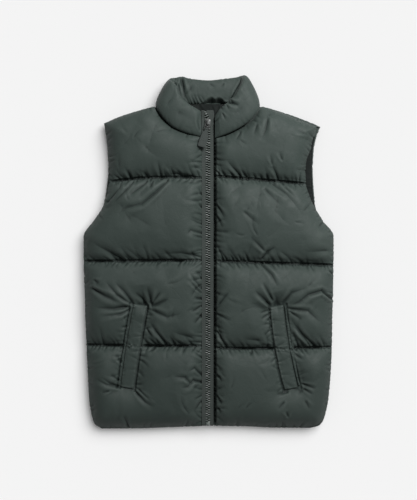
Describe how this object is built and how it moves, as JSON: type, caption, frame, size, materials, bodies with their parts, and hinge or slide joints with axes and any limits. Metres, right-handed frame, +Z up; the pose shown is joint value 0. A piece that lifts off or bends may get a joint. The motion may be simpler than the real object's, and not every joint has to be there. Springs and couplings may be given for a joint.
{
  "type": "puffer vest",
  "caption": "Quilted puffer vest laid flat, front up: full-length zip with a hanging pull tab, open padded stand collar and slanted welt pockets.",
  "frame": {"origin": "middle of the footprint, on the surface that the vest lies on", "axes": "+Z up from the surface towards the vest's front, +Y from the hem to the collar, +X towards the wearer's left"},
  "size_m": [0.5456, 0.767, 0.053],
  "materials": {
    "shell_nylon": "dark grey-green nylon with a soft sheen",
    "facing_nylon": "plain dark nylon inside the armholes and the neck",
    "zip_tape": "matt woven tape",
    "zip_teeth": "moulded, satin",
    "zip_metal": "worn dull nickel",
    "tab_fabric": "stiff stitched webbing"
  },
  "bodies": {
    "vest": {"back": "shell_nylon", "front_right": "shell_nylon", "front_left": "shell_nylon", "collar": "shell_nylon", "welt_right": "shell_nylon", "welt_left": "shell_nylon", "pocket_lip_right": "shell_nylon", "pocket_lip_left": "shell_nylon", "armhole_facing_right": "facing_nylon", "armhole_facing_left": "facing_nylon", "neck_facing": "facing_nylon", "zip_tape_right": "zip_tape", "zip_tape_left": "zip_tape", "zip_teeth_right": "zip_teeth", "zip_teeth_left": "zip_teeth", "zip_box": "zip_teeth", "zip_slider": "zip_metal"},
    "ring": {"pull_ring": "zip_metal"},
    "tab": {"pull_tab": "tab_fabric"}
  },
  "joints": [
    {"name": "ring_lift", "type": "hinge", "parent": "vest", "child": "ring", "pos_m": [-0.0015, 0.27949, 0.03855], "axis": [-0.9659, 0.2588, 0], "range_deg": [0, 90]},
    {"name": "tab_lift", "type": "hinge", "parent": "ring", "child": "tab", "pos_m": [-0.0046, 0.26792, 0.03918], "axis": [-0.9659, 0.2588, 0], "range_deg": [0, 60]}
  ]
}
